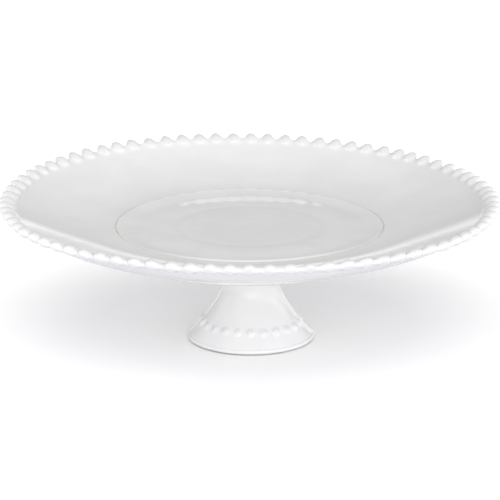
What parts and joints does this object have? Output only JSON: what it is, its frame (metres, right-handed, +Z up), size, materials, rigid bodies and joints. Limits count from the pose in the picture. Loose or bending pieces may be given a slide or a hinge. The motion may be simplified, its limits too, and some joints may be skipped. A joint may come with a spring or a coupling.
{
  "type": "cake stand",
  "caption": "Low footed cake stand: a wide glazed stoneware plate with a sunken well and a pearl-beaded rim, on a hollow flared pedestal with small beads near its base.",
  "frame": {"origin": "centre of the circle that the stand rests on, under the pedestal", "axes": "+Z up along the axis of the plate and pedestal; +X and +Y along the floor, with a rim pearl and a foot pearl on +X"},
  "size_m": [0.34, 0.34, 0.102],
  "materials": {
    "white_glaze": "thick glossy white glaze, thinner and tan where it breaks over edges",
    "slip_glaze": "glossy white glaze over a smoothed clay fillet"
  },
  "bodies": {
    "root": {"plate": "white_glaze", "rim_pearls": "white_glaze", "pedestal": "white_glaze", "joint_ring": "slip_glaze", "foot_pearl_01": "white_glaze", "foot_pearl_02": "white_glaze", "foot_pearl_03": "white_glaze", "foot_pearl_04": "white_glaze", "foot_pearl_05": "white_glaze", "foot_pearl_06": "white_glaze", "foot_pearl_07": "white_glaze", "foot_pearl_08": "white_glaze", "foot_pearl_09": "white_glaze", "foot_pearl_10": "white_glaze", "foot_pearl_11": "white_glaze", "foot_pearl_12": "white_glaze", "foot_pearl_13": "white_glaze", "foot_pearl_14": "white_glaze", "foot_pearl_15": "white_glaze", "foot_pearl_16": "white_glaze", "foot_pearl_17": "white_glaze", "foot_pearl_18": "white_glaze", "foot_pearl_19": "white_glaze", "foot_pearl_20": "white_glaze", "foot_pearl_21": "white_glaze", "foot_pearl_22": "white_glaze", "foot_pearl_23": "white_glaze", "foot_pearl_24": "white_glaze"}
  },
  "joints": []
}
